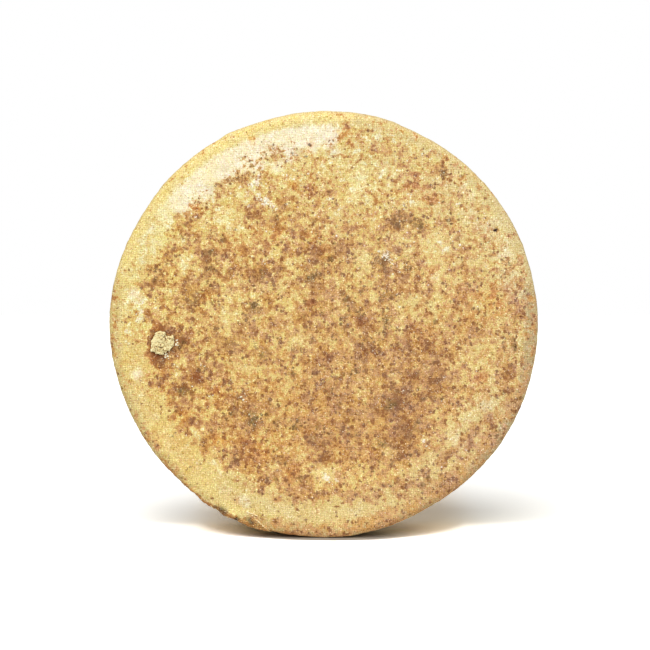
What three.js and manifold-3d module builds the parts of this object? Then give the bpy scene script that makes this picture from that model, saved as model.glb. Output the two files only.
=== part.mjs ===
// A whole cheese wheel with a natural, cloth-marked rind, standing on its edge, with the plug that
// the cheese iron drew pressed back into its front face.
// Millimetres, +Z up. The wheel's own axis lies along Y and its front face looks towards -Y.
// The origin is on the floor, under the middle of the wheel.
import * as THREE from 'three';
import { ImprovedNoise } from 'three/addons/math/ImprovedNoise.js';
import { mergeVertices } from 'three/addons/utils/BufferGeometryUtils.js';
import Module from 'manifold-3d';

// The wheel as it left its mould.
const WHEEL_RADIUS = 160;
const WHEEL_THICKNESS = 80;
const FACE_RADIUS = 153; // the face is nearly flat out to here
const FACE_CROWN = 1.2; // and this much higher in the middle than there
const EDGE_DROP = 7; // length along the axis of the rounded edge between face and heel
const HEEL_BULGE = 1.2; // the heel is this much fuller half way between the faces

// The flat spot that the wheel has settled on, as a depth cut off the round.
const FLAT_DEPTH = 1.5;

// How finely the round is faceted.
const SECTORS = 96;
const FACE_RINGS = 10;
const FACE_RING_GROWTH = 0.8; // below 1 the rings draw together towards the edge
const EDGE_RINGS = 6;
const HEEL_RINGS = 5;

// Unevenness of the rind: broad swells, and the lumps that the cloth left.
const SWELL = { length: 55, height: 0.8, seed: 0.37 };
const LUMPS = { length: 17, height: 0.3, seed: 9.61 };

// Dents (positive) and swellings (negative) of the heel. Angles run from +X over the top.
const HEEL_DENTS = [
  { at: 20, spread: 26, depth: -0.9 },
  { at: 75, spread: 9, depth: -0.4 },
  { at: 105, spread: 8, depth: 0.4 },
  { at: 115.5, spread: 3, depth: -0.9 },
  { at: 147, spread: 8, depth: 0.7 },
  { at: 175, spread: 16, depth: -1.0 },
  { at: 220, spread: 20, depth: 0.7 },
  { at: 303, spread: 20, depth: 1.8 },
];
const DENT_START = 0.72; // share of the radius inside which no dent reaches

// The lip: curd squeezed past the edge of the mould, left as a ragged row of crumbs on the front.
const LIP = { from: 227, to: 256, crumbs: 22, smallest: 1.4, largest: 3.0, seed: 31 };
const LIP_TURN = { least: 34, most: 62 }; // how far round the rounded edge the crumbs sit, degrees
const LIP_STRETCH = 2; // the crumbs are this much longer along the edge than across it
const LIP_PEAK = 1.6; // above 1 the largest crumbs lie nearer the lip's far end

// Crumbs stuck to the front face beside the plug: place from the wheel's middle, and size.
const FACE_CRUMBS = [
  { x: -108.4, z: -9.4, size: 1.5 },
  { x: -109.1, z: -12.1, size: 1.1 },
  { x: -115.1, z: -19.4, size: 1.3 },
  { x: -114.7, z: -22.2, size: 1.0 },
];
const CRUMB_SINK = 0.3; // share of a crumb's size that its middle lies behind the rind
const CRUMB_ROUGHNESS = 0.3;
const FINE = 1; // how often a crumb's facets are split
const COARSE = 0;

// Pin holes and mite holes in the faces: place from the middle, radius, and depth.
const FRONT_PITS = [
  { x: 126.5, z: 71.7, radius: 2.1, depth: 1.9 },
  { x: -10.3, z: 134.3, radius: 1.5, depth: 1.2 },
  { x: -23.5, z: 128.5, radius: 1.6, depth: 1.3 },
  { x: -13.2, z: 125.6, radius: 1.4, depth: 1.2 },
  { x: 36.0, z: -107.6, radius: 1.8, depth: 1.1 },
  { x: -31.4, z: 15.1, radius: 1.5, depth: 1.0 },
  { x: 64.0, z: 82.9, radius: 1.6, depth: 1.0 },
];
const BACK_PITS = { count: 7, nearest: 30, farthest: 135, radius: 1.6, depth: 1.2, seed: 20 };

// The trier plug: its ragged outline from its own middle, and where that middle is on the face.
const PLUG_MIDDLE = { x: -119.6, z: -11.6 };
const PLUG_OUTLINE = [
  [-4.9, 7.0], [-2.2, 8.6], [1.5, 7.6], [2.9, 4.9], [8.2, 4.9], [8.6, 1.9], [7.2, -2.4],
  [4.9, -5.1], [2.2, -6.5], [-1.5, -8.5], [-5.5, -7.2], [-8.5, -6.1], [-8.4, -1.8], [-6.9, 3.6],
];
const PLUG_PROUD = 1.1; // height of its rim over the rind
const PLUG_DEPTH = 2.8; // how deep it is seated
const PLUG_BEVEL = 0.6;
const POCKET_SCALE = 1.065; // the hole is this much wider, so a crack stays open all round
const POCKET_CLEARANCE = 0.35; // and this much deeper
const CURD_GRAINS = [
  { x: -2.0, z: 5.4, size: 2.0 },
  { x: -4.6, z: 0.9, size: 2.3 },
  { x: 0.4, z: 0.6, size: 1.9 },
  { x: 5.0, z: 1.4, size: 2.2 },
  { x: -5.6, z: -4.0, size: 1.7 },
  { x: -0.9, z: -5.2, size: 2.0 },
  { x: 3.0, z: -3.2, size: 1.7 },
];
const GRAIN_SINK = 0.55; // share of a grain's size that its middle lies behind the plug's rim

const HALF = WHEEL_THICKNESS / 2;
const FRONT = -1; // which way along Y a face looks
const BACK = 1;

const noise = new ImprovedNoise();
const wasm = await Module();
wasm.setup();

// Distance along the axis from the wheel's middle to the smooth face, at a radius inside the edge.
function faceDistance(radius) {
  return HALF - FACE_CROWN * (radius / FACE_RADIUS) ** 2;
}

// A point of the rounded edge, by how far round it lies: 0 at the face, 90 at the heel.
function edgePoint(turn) {
  const angle = THREE.MathUtils.degToRad(turn);
  const heelEdge = WHEEL_RADIUS - HEEL_BULGE;
  const radius = FACE_RADIUS + (heelEdge - FACE_RADIUS) * Math.sin(angle);
  const drop = (EDGE_DROP - FACE_CROWN) * (1 - Math.cos(angle));
  return new THREE.Vector2(radius, faceDistance(FACE_RADIUS) - drop);
}

// The profile from the middle of the front face, round the heel, to the middle of the back.
function wheelProfile() {
  const half = [];
  for (let i = 0; i < FACE_RINGS; i++) {
    const radius = FACE_RADIUS * (i / FACE_RINGS) ** FACE_RING_GROWTH;
    half.push(new THREE.Vector2(radius, faceDistance(radius)));
  }
  for (let i = 0; i <= EDGE_RINGS; i++) {
    half.push(edgePoint(90 * i / EDGE_RINGS));
  }
  const front = half.map((p) => new THREE.Vector2(p.x, -p.y));
  const heel = [];
  const heelHalf = HALF - EDGE_DROP;
  for (let i = 1; i < HEEL_RINGS; i++) {
    const y = THREE.MathUtils.lerp(-heelHalf, heelHalf, i / HEEL_RINGS);
    heel.push(new THREE.Vector2(WHEEL_RADIUS - HEEL_BULGE * (y / heelHalf) ** 2, y));
  }
  return [...front, ...heel, ...half.reverse()];
}

// The geometry with its shared corners merged and its empty triangles dropped.
function welded(geometry) {
  geometry.deleteAttribute('normal');
  geometry.deleteAttribute('uv');
  const merged = mergeVertices(geometry);
  const corners = merged.index.array;
  const kept = [];
  for (let i = 0; i < corners.length; i += 3) {
    const [a, b, c] = corners.slice(i, i + 3);
    if (a !== b && b !== c && c !== a) {
      kept.push(a, b, c);
    }
  }
  merged.setIndex(kept);
  return merged;
}

function solidOf(geometry) {
  const mesh = welded(geometry);
  return new wasm.Manifold(new wasm.Mesh({
    numProp: 3,
    vertProperties: new Float32Array(mesh.attributes.position.array),
    triVerts: new Uint32Array(mesh.index.array),
  }));
}

function geometryOf(solid) {
  const mesh = solid.getMesh();
  const geometry = new THREE.BufferGeometry();
  geometry.setAttribute('position', new THREE.BufferAttribute(mesh.vertProperties, mesh.numProp));
  geometry.setIndex(new THREE.BufferAttribute(mesh.triVerts, 1));
  geometry.computeVertexNormals();
  return geometry;
}

function noiseAt(point, { length, height, seed }) {
  return height * noise.noise(point.x / length + seed, point.y / length, point.z / length + seed);
}

// Height of the rind over the smooth wheel.
function rindRelief(point) {
  return noiseAt(point, SWELL) + noiseAt(point, LUMPS);
}

// How far the heel is dented at an angle round the wheel, in degrees.
function dentAt(angle) {
  let depth = 0;
  for (const dent of HEEL_DENTS) {
    const away = THREE.MathUtils.euclideanModulo(angle - dent.at + 180, 360) - 180;
    depth += dent.depth * Math.exp(-((away / dent.spread) ** 2));
  }
  return depth;
}

// The smooth wheel turned on its axis, then dented and given the rind's unevenness.
function rindGeometry() {
  const geometry = welded(new THREE.LatheGeometry(wheelProfile(), SECTORS));
  geometry.computeVertexNormals();
  const { position, normal } = geometry.attributes;
  const point = new THREE.Vector3();
  const outward = new THREE.Vector3();
  for (let i = 0; i < position.count; i++) {
    point.fromBufferAttribute(position, i);
    outward.fromBufferAttribute(normal, i);
    const relief = rindRelief(point);
    const radius = Math.hypot(point.x, point.z);
    const angle = THREE.MathUtils.radToDeg(Math.atan2(point.z, point.x));
    const share = THREE.MathUtils.smoothstep(radius, DENT_START * WHEEL_RADIUS, WHEEL_RADIUS);
    const pulled = 1 - share * dentAt(angle) / WHEEL_RADIUS;
    point.set(point.x * pulled, point.y, point.z * pulled);
    point.addScaledVector(outward, relief);
    position.setXYZ(i, point.x, point.y, point.z);
  }
  return geometry;
}

// One crumb or grain of curd: an icosahedron pulled out of round.
function crumbGeometry(size, seed, detail) {
  const geometry = welded(new THREE.IcosahedronGeometry(size, detail));
  const position = geometry.attributes.position;
  const point = new THREE.Vector3();
  for (let i = 0; i < position.count; i++) {
    point.fromBufferAttribute(position, i);
    const bulge = noise.noise(point.x / size + seed, point.y / size + seed, point.z / size - seed);
    point.multiplyScalar(1 + CRUMB_ROUGHNESS * bulge);
    position.setXYZ(i, point.x, point.y, point.z);
  }
  return geometry;
}

// The ragged row of long crumbs along the front edge.
function lipCrumbs() {
  THREE.MathUtils.seededRandom(LIP.seed);
  const crumbs = [];
  for (let i = 0; i < LIP.crumbs; i++) {
    const along = (i + THREE.MathUtils.seededRandom()) / LIP.crumbs;
    const degrees = THREE.MathUtils.lerp(LIP.from, LIP.to, along);
    const angle = THREE.MathUtils.degToRad(degrees);
    const swell = Math.sin(Math.PI * along ** LIP_PEAK) * THREE.MathUtils.seededRandom();
    const size = THREE.MathUtils.lerp(LIP.smallest, LIP.largest, swell);
    const turn = THREE.MathUtils.lerp(LIP_TURN.least, LIP_TURN.most, THREE.MathUtils.seededRandom());
    const edge = edgePoint(turn);
    const radius = edge.x - dentAt(degrees);
    const geometry = crumbGeometry(size, i, FINE);
    geometry.scale(LIP_STRETCH, 1, 1);
    geometry.rotateY(-(angle + Math.PI / 2));
    geometry.translate(radius * Math.cos(angle), -edge.y, radius * Math.sin(angle));
    crumbs.push(geometry);
  }
  return crumbs;
}

// Distance from the wheel's middle to the uneven face on one side, at a place on it.
function unevenDistance(x, z, side) {
  const smooth = faceDistance(Math.hypot(x, z));
  return smooth + rindRelief(new THREE.Vector3(x, side * smooth, z));
}

function faceCrumbs() {
  return FACE_CRUMBS.map(({ x, z, size }) => {
    const geometry = crumbGeometry(size, x, COARSE);
    geometry.translate(x, CRUMB_SINK * size - unevenDistance(x, z, FRONT), z);
    return geometry;
  });
}

// A shallow pit: a flattened ball whose middle lies in the face.
function pitGeometry({ x, z, radius, depth }, side) {
  const geometry = crumbGeometry(radius, x + z, COARSE);
  geometry.scale(1, depth / radius, 1);
  geometry.translate(x, side * unevenDistance(x, z, side), z);
  return geometry;
}

// The hidden face has like pits, scattered by chance.
function backPits() {
  THREE.MathUtils.seededRandom(BACK_PITS.seed);
  const pits = [];
  for (let i = 0; i < BACK_PITS.count; i++) {
    const angle = 2 * Math.PI * (i + THREE.MathUtils.seededRandom()) / BACK_PITS.count;
    const share = Math.sqrt(THREE.MathUtils.seededRandom());
    const distance = THREE.MathUtils.lerp(BACK_PITS.nearest, BACK_PITS.farthest, share);
    pits.push(pitGeometry({
      x: distance * Math.cos(angle),
      z: distance * Math.sin(angle),
      radius: BACK_PITS.radius,
      depth: BACK_PITS.depth,
    }, BACK));
  }
  return pits;
}

// A prism of the plug's outline, from `back` to `front` before the wheel's middle.
function plugPrism(scale, back, front, bevel) {
  const shape = new THREE.Shape(PLUG_OUTLINE.map(([x, z]) => new THREE.Vector2(x * scale, z * scale)));
  const geometry = new THREE.ExtrudeGeometry(shape, {
    depth: front - back - 2 * bevel,
    bevelEnabled: bevel > 0,
    bevelThickness: bevel,
    bevelSize: bevel,
    bevelOffset: -bevel,
    bevelSegments: 1,
  });
  geometry.rotateX(Math.PI / 2);
  geometry.translate(PLUG_MIDDLE.x, -back - bevel, PLUG_MIDDLE.z);
  return geometry;
}

// The floor that the flat spot rests on, as a block to cut away below it.
function floorBlock() {
  const size = 2 * WHEEL_RADIUS;
  const block = new THREE.BoxGeometry(size, size, size);
  block.translate(0, 0, FLAT_DEPTH - WHEEL_RADIUS - size / 2);
  return block;
}

const seat = unevenDistance(PLUG_MIDDLE.x, PLUG_MIDDLE.z, FRONT);

function wheelSolid() {
  let solid = solidOf(rindGeometry());
  for (const crumb of [...lipCrumbs(), ...faceCrumbs()]) {
    solid = solid.add(solidOf(crumb));
  }
  const pits = [...FRONT_PITS.map((pit) => pitGeometry(pit, FRONT)), ...backPits()];
  const pocketFloor = seat - PLUG_DEPTH - POCKET_CLEARANCE;
  const pocket = plugPrism(POCKET_SCALE, pocketFloor, WHEEL_RADIUS, 0);
  for (const hollow of [...pits, pocket, floorBlock()]) {
    solid = solid.subtract(solidOf(hollow));
  }
  return solid;
}

// The plug: a prism in the pocket with coarse grains of curd standing out of its end.
function plugSolid() {
  const rim = seat + PLUG_PROUD;
  let solid = solidOf(plugPrism(1, seat - PLUG_DEPTH, rim, PLUG_BEVEL));
  for (const { x, z, size } of CURD_GRAINS) {
    const grain = crumbGeometry(size, x - z, FINE);
    grain.translate(PLUG_MIDDLE.x + x, GRAIN_SINK * size - rim, PLUG_MIDDLE.z + z);
    solid = solid.add(solidOf(grain));
  }
  return solid;
}

const rind = new THREE.MeshStandardMaterial({ color: 0xd0a56c, roughness: 0.8, metalness: 0 });
const curd = new THREE.MeshStandardMaterial({ color: 0xecdf9e, roughness: 0.7, metalness: 0 });

const cheeseWheel = new THREE.Mesh(geometryOf(wheelSolid()), rind);
cheeseWheel.name = 'cheese_wheel';

const curdPlug = new THREE.Mesh(geometryOf(plugSolid()), curd);
curdPlug.name = 'curd_plug';

// The wheel stands on the floor, with the middle of its box over the origin.
const wheel = new THREE.Group();
wheel.add(cheeseWheel, curdPlug);
const box = new THREE.Box3().setFromObject(wheel, true);
const middle = box.getCenter(new THREE.Vector3());
wheel.position.set(-middle.x, -middle.y, -box.min.z);
wheel.updateMatrixWorld(true);

export default wheel;
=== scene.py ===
import math

import bpy
import numpy as np
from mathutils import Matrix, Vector


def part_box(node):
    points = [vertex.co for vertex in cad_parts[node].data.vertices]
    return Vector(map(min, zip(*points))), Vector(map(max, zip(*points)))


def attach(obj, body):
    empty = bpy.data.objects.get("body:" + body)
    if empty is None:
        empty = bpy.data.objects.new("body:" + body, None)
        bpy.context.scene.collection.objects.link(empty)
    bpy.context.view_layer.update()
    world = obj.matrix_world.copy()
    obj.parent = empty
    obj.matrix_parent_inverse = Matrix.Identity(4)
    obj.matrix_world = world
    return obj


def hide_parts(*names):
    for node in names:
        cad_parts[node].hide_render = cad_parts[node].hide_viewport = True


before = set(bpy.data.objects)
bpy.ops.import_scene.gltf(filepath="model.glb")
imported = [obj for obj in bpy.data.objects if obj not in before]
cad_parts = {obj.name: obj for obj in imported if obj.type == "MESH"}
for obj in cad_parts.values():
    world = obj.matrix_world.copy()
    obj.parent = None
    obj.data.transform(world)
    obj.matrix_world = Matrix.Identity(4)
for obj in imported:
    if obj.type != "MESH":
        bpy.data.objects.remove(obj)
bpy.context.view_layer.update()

# The rind: the skin of the whole wheel, dried curd that has kept the threads of the cloth it was
# pressed in. It is one closed skin over faces, rounded edges and heel. Its lumps are pushed into
# the mesh; the threads and the grain are bump.
MM = 0.001
WHEEL_LOW, WHEEL_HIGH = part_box("cheese_wheel")
WHEEL_RADIUS = 160 * MM
WHEEL_CENTRE = Vector((0.22 * MM, 0.54 * MM, 158.5 * MM))
RIND_VOXEL = 1.15 * MM
RIND_TRIANGLES = 186000
RIND_SMOOTHING = 12
RIND_RELIEF = (
    ("swells", 26 * MM, 0.3 * MM),
    ("lumps", 9 * MM, 0.3 * MM),
    ("grains", 3.2 * MM, 0.3 * MM),
)


def copy_of_solid(name, solid):
    """A new mesh object with the shape of a CAD node, its triangles joined at their corners."""
    bpy.ops.object.select_all(action="DESELECT")
    made = bpy.data.objects.new(name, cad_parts[solid].data.copy())
    bpy.context.scene.collection.objects.link(made)
    bpy.context.view_layer.objects.active = made
    made.select_set(True)
    made.data.materials.clear()
    bpy.ops.object.mode_set(mode="EDIT")
    bpy.ops.mesh.select_all(action="SELECT")
    bpy.ops.mesh.remove_doubles(threshold=0.001 * MM)
    bpy.ops.object.mode_set(mode="OBJECT")
    return made


def resurface(piece, voxel):
    """Gives the piece one closed skin of even, fine, four-sided faces."""
    piece.data.remesh_voxel_size = voxel
    bpy.ops.object.voxel_remesh()


def reshape(piece, kind, **settings):
    """Adds a modifier with its settings to the active piece and applies it."""
    bpy.ops.object.modifier_add(type=kind)
    modifier = piece.modifiers[-1]
    for setting, value in settings.items():
        setattr(modifier, setting, value)
    bpy.ops.object.modifier_apply(modifier=modifier.name)


def push_out(piece, name, size, height):
    """Raises and sinks the skin by soft noise, with lumps of about that size and height."""
    cloud = bpy.data.textures.new(name, "CLOUDS")
    cloud.noise_scale = size
    cloud.noise_depth = 1
    reshape(piece, "DISPLACE", texture=cloud, texture_coords="LOCAL", mid_level=0.5,
            strength=height * 2)


def values_of(rows, name, width, kind=np.float32):
    """One property of all the rows of a mesh, as an array with that many columns."""
    values = np.empty(len(rows) * width, kind)
    rows.foreach_get(name, values)
    return values.reshape(-1, width)


def points_of(piece):
    """The places of the piece's vertices."""
    return values_of(piece.data.vertices, "co", 3).astype(float)


def move_points(piece, places):
    """Moves the piece's vertices to the places."""
    piece.data.vertices.foreach_set("co", places.astype(np.float32).ravel())
    piece.data.update()


def rest_on_floor(piece):
    """Presses flat whatever the relief has pushed through the floor."""
    places = points_of(piece)
    places[:, 2] = np.maximum(places[:, 2], 0.0)
    move_points(piece, places)


rind = copy_of_solid("cheese_rind", "cheese_wheel")
resurface(rind, RIND_VOXEL)
reshape(rind, "SMOOTH", factor=0.5, iterations=RIND_SMOOTHING)
for relief_name, relief_size, relief_height in RIND_RELIEF:
    push_out(rind, relief_name, relief_size, relief_height)
reshape(rind, "DECIMATE", ratio=RIND_TRIANGLES / (2 * len(rind.data.polygons)))
rest_on_floor(rind)
bpy.ops.object.shade_smooth()

# The rind laid out flat, so that its colours can be baked: the front disc large, the back disc
# smaller, each by its middle and radius, and the heel as two strips above them.
FRONT_DISC = (0.308, 0.308, 0.300)
BACK_DISC = (0.805, 0.190, 0.180)
STRIP_HEIGHT = 0.150
STRIP_STARTS = (0.650, 0.830)
STRIP_LENGTH = 0.960
HEEL_INNER_RADIUS = 150 * MM
HEEL_SLOPE = 0.6


def lay_out(piece):
    """Gives the wheel's skin a UV map without overlaps."""
    mesh = piece.data
    corners = values_of(mesh.loops, "vertex_index", 1, np.int32)[:, 0]
    counts = values_of(mesh.polygons, "loop_total", 1, np.int32)[:, 0]
    slope = values_of(mesh.polygons, "normal", 3)[:, 1]
    middles = values_of(mesh.polygons, "center", 3) - np.array(WHEEL_CENTRE)
    on_heel = (np.abs(slope) < HEEL_SLOPE) & (
        np.hypot(middles[:, 0], middles[:, 2]) > HEEL_INNER_RADIUS)
    turns = np.arctan2(middles[:, 2], middles[:, 0]) / (2 * math.pi) % 1.0
    face_of = np.repeat(np.arange(len(counts)), counts)
    places = points_of(piece)[corners] - np.array(WHEEL_CENTRE)
    laid = np.empty((len(corners), 2))
    for (right, raised, reach), side in ((FRONT_DISC, -1), (BACK_DISC, 1)):
        chosen = ~on_heel[face_of] & (middles[face_of, 1] * side > 0)
        laid[chosen, 0] = right - side * places[chosen, 0] / WHEEL_RADIUS * reach
        laid[chosen, 1] = raised + places[chosen, 2] / WHEEL_RADIUS * reach
    chosen = on_heel[face_of]
    around = np.arctan2(places[chosen, 2], places[chosen, 0]) / (2 * math.pi)
    middle_turn = turns[face_of[chosen]]
    around += np.round(middle_turn - around)
    strip = np.floor(middle_turn * 2).astype(int)
    laid[chosen, 0] = (1 - STRIP_LENGTH) / 2 + (around * 2 - strip) * STRIP_LENGTH
    laid[chosen, 1] = np.array(STRIP_STARTS)[strip] + STRIP_HEIGHT * (
        0.5 + places[chosen, 1] / (WHEEL_HIGH.y - WHEEL_LOW.y))
    unwrapped = mesh.uv_layers.new(name="OFBake")
    unwrapped.data.foreach_set("uv", laid.astype(np.float32).ravel())


lay_out(rind)

# Marks of ripening on the front face of the rind: across and up from the middle of the wheel in
# millimetres, the mark's radius, and how strong it is. The back face has its own spread of the
# same marks, turned round the wheel.
BROWN_STAINS = (
    (-129, 34, 7, 0.8), (-128, 45, 4, 0.7), (-130, 25, 4, 0.6), (-101, 34, 5, 0.8), (-103, 71, 7, 0.5),
    (-115, 55, 4, 0.7), (-87, 52, 6, 0.4), (-90, 23, 5, 0.5), (-53, 83, 7, 0.3), (-46, 42, 8, 0.7),
    (-36, 75, 6, 0.5), (-52, 16, 4, 0.6), (-16, 11, 5, 0.6), (-8, 37, 5, 0.5), (-5, 54, 7, 0.5),
    (4, 104, 4, 0.5), (-7, 99, 5, 0.4), (17, 150, 4, 1.0), (41, 131, 5, 0.5), (54, 129, 4, 0.5),
    (68, 110, 5, 0.4), (88, 113, 5, 0.6), (82, 99, 7, 0.2), (54, 81, 8, 0.6), (70, 75, 5, 0.6),
    (47, 74, 5, 0.5), (94, 82, 4, 0.5), (94, 69, 4, 0.4), (43, 47, 7, 0.3), (56, 33, 8, 0.5),
    (17, 21, 6, 0.4), (32, 19, 4, 0.4), (28, 5, 5, 0.6), (15, 61, 7, 0.4), (-124, -22, 5, 0.9),
    (-120, -42, 5, 0.6), (-104, -45, 6, 0.7), (-94, -37, 6, 1.0), (-101, -68, 7, 0.6),
    (-71, -13, 5, 0.7), (-66, -59, 6, 0.6), (-52, -70, 5, 0.7), (-58, -95, 11, 0.3), (-9, -85, 4, 0.9),
    (1, -96, 6, 0.6), (54, -55, 7, 0.9), (41, -62, 7, 0.5), (61, -16, 5, 0.5), (78, -13, 8, 0.4),
    (65, -36, 6, 0.5), (84, -39, 6, 0.7), (79, -50, 5, 0.5), (60, -76, 8, 0.5), (53, -87, 7, 0.4),
    (60, -96, 7, 0.5), (34, -16, 6, 0.4), (1, -22, 6, 0.3), (-18, -113, 5, 0.4), (116, -5, 4, 0.4),
    (108, 23, 9, 0.3), (130, 28, 7, 0.3), (115, -39, 4, 0.4), (134, -33, 5, 0.4), (-145, 9, 4, 0.5),
    (-34, 131, 4, 0.7), (-104, -10, 4, 0.9), (-127, -23, 4, 0.9), (-113, -3, 3, 0.8),
    (-130, -8, 3, 0.8), (-65, -129, 3, 0.9), (-35, -146, 3, 0.5), (-36, 134, 3, 0.7),
    (-43, 128, 3, 0.7), (-52, 121, 3, 0.6), (-62, 113, 3, 0.7), (-70, 108, 3, 0.6), (-78, 106, 3, 0.9),
    (-24, 128, 4, 0.6), (-99, 82, 4, 0.6),
)
OLIVE_STAINS = (
    (69, 75, 5, 0.9), (57, 78, 7, 0.6), (42, 50, 7, 0.8), (17, 21, 5, 0.8), (-7, 39, 6, 0.7),
    (-53, 16, 5, 0.8), (-57, 5, 4, 0.6), (-46, -21, 5, 0.7), (-140, 23, 7, 0.6), (-94, -87, 4, 0.7),
    (140, 50, 9, 0.6), (89, 113, 5, 0.8), (-68, -12, 4, 0.5), (47, 21, 6, 0.6), (133, -12, 7, 0.4),
    (-64, 78, 5, 0.5), (-36, -93, 6, 0.5), (24, -32, 7, 0.4), (-107, -14, 4, 0.8), (-40, 130, 6, 0.8),
    (-52, 120, 7, 0.8), (-66, 110, 6, 0.7), (-98, 20, 8, 0.6), (-78, -2, 7, 0.6), (-84, 44, 7, 0.5),
)
RED_STAINS = (
    (64, 102, 9, 0.8), (80, 96, 7, 0.8), (68, 110, 4, 0.5), (-85, 52, 6, 0.6), (-94, 88, 7, 0.8),
    (-4, 64, 10, 0.6), (-9, 102, 6, 0.6), (-79, -48, 6, 0.7), (-125, -22, 4, 0.8), (34, -92, 6, 0.6),
    (29, 6, 6, 0.7), (1, -23, 5, 0.6), (-10, 19, 5, 0.7), (78, 42, 6, 0.6), (-36, -129, 3, 1.0),
    (115, -38, 5, 0.8), (-104, -10, 4, 0.9), (-127, -23, 4, 0.9), (-10, 135, 4, 0.9),
    (-58, -86, 6, 0.6), (-94, -36, 6, 0.8), (94, 74, 6, 0.6), (-122, -1, 7, 0.7), (7, -51, 6, 0.5),
    (101, 21, 7, 0.4), (-129, -83, 7, 0.4), (-126, -38, 28, 0.4), (-112, -92, 26, 0.4),
)
ORANGE_STAINS = (
    (-87, 23, 5, 0.7), (-35, 69, 7, 0.7), (-54, 139, 4, 0.8), (-23, 105, 5, 0.7), (125, 21, 12, 0.7),
    (-103, -67, 7, 0.7), (-50, -94, 13, 0.6), (-24, -109, 9, 0.7), (-79, -84, 6, 1.0),
    (106, 10, 9, 0.5), (74, -7, 12, 0.5), (54, -78, 9, 0.4), (-62, -126, 6, 0.3), (15, -93, 7, 0.4),
    (-70, -50, 34, 0.3), (-10, -76, 30, 0.35), (-60, 60, 24, 0.35), (-88, 8, 16, 0.35),
    (16, 143, 8, 0.6),
)
WHITE_BLOOM = (
    (-50, 107, 4, 1.0), (-98, 97, 4, 0.9), (-89, 94, 4, 0.8), (-43, 49, 4, 0.9), (-68, 38, 4, 0.7),
    (45, 54, 5, 0.8), (74, -85, 4, 0.8), (-136, 12, 4, 1.0), (-136, 18, 3, 0.8), (-137, 5, 3, 0.8),
    (2, -112, 5, 1.0), (10, -115, 4, 0.8), (-43, 93, 4, 1.0), (-38, 90, 3, 0.8), (-88, 107, 7, 0.7),
    (53, 45, 7, 0.5), (44, 24, 6, 0.5), (-23, 138, 6, 0.5), (-82, -45, 2, 0.8), (-91, -28, 3, 0.7),
    (-115, -19, 3, 0.7), (-58, -51, 3, 0.7), (120, 80, 6, 0.5), (55, 113, 4, 0.5), (19, 83, 4, 0.4),
    (80, -53, 4, 0.4), (-47, 132, 4, 0.5), (35, 75, 42, 0.3), (-50, 84, 32, 0.3), (92, 66, 24, 0.3),
    (-52, 108, 16, 0.4), (-22, 118, 12, 0.4), (-100, 82, 13, 0.4), (-56, 99, 3, 0.7),
    (-63, 103, 3, 0.6), (-48, 96, 3, 0.7), (-71, 97, 5, 0.5),
)
PALE_PATCHES = (
    (-86, 113, 9, 1.0), (26, 112, 7, 0.7), (45, 114, 5, 0.7), (24, 99, 7, 0.6), (-75, 82, 10, 0.5),
    (-73, 8, 11, 0.5), (-102, 46, 7, 0.4), (-69, 28, 6, 0.4), (-21, -9, 7, 0.5), (31, 52, 8, 0.4),
    (57, 64, 7, 0.4), (85, 60, 10, 0.4), (53, -37, 4, 0.4), (49, -94, 4, 0.5), (80, -98, 5, 0.5),
    (1, -110, 7, 0.9), (-36, -105, 6, 0.4), (-17, -93, 5, 0.5), (108, -66, 5, 0.5), (94, -82, 7, 0.4),
    (-110, -36, 4, 0.5), (82, 42, 7, 0.4), (-115, 83, 7, 0.5), (-120, 67, 6, 0.5),
)
CREAM_PATCHES = (
    (-139, -36, 6, 0.5), (121, 75, 12, 0.25), (132, 61, 8, 0.2), (98, -84, 10, 0.3), (-140, 23, 7, 0.5),
    (119, -60, 8, 0.2), (-119, 83, 8, 0.3), (-74, 116, 10, 0.9), (-104, 97, 9, 0.8), (-10, 138, 9, 0.9),
    (-26, 128, 7, 0.7), (-48, 118, 6, 0.6), (-58, 126, 10, 0.8), (-88, 100, 8, 0.6), (-34, 118, 5, 0.6),
    (8, 128, 6, 0.4),
)
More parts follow.
